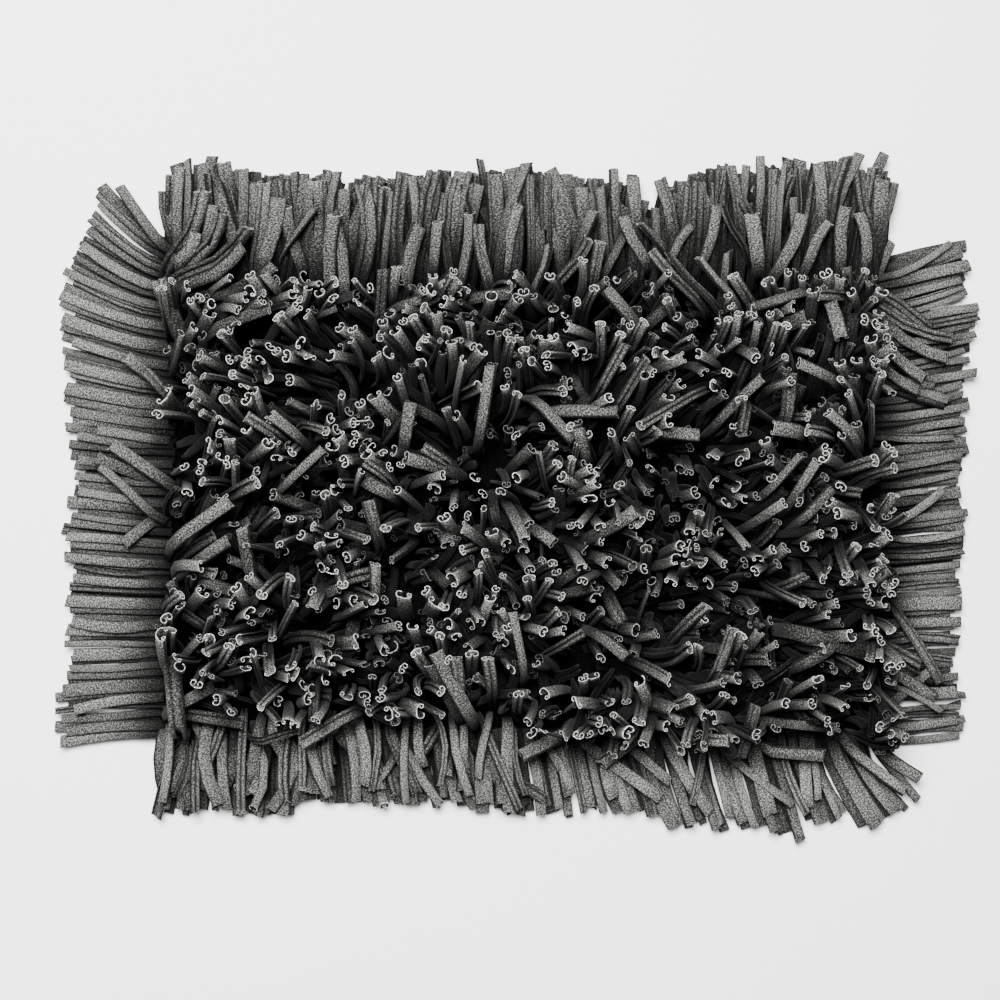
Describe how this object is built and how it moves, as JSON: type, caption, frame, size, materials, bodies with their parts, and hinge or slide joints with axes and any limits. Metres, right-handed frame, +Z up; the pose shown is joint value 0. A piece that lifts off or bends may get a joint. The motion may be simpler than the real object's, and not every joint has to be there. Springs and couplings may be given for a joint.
{
  "type": "snuffle mat",
  "caption": "Rectangular dog snuffle mat: a flat base with a thick leaning pile of curled jersey strips and a loose strip fringe on every side.",
  "frame": {"origin": "centre of the base sheet's underside, at the height of the floor", "axes": "+X along the mat's long side, +Y to its back edge, +Z up out of the pile"},
  "size_m": [0.5614, 0.4157, 0.0456],
  "materials": {
    "jersey": "heather charcoal cotton jersey, matt, with paler cut edges",
    "base_felt": "dense black needled felt, matt"
  },
  "bodies": {
    "root": {"backing": "base_felt", "pile": "jersey", "fringe_left": "jersey", "fringe_right": "jersey", "fringe_back": "jersey", "fringe_front": "jersey"}
  },
  "joints": []
}
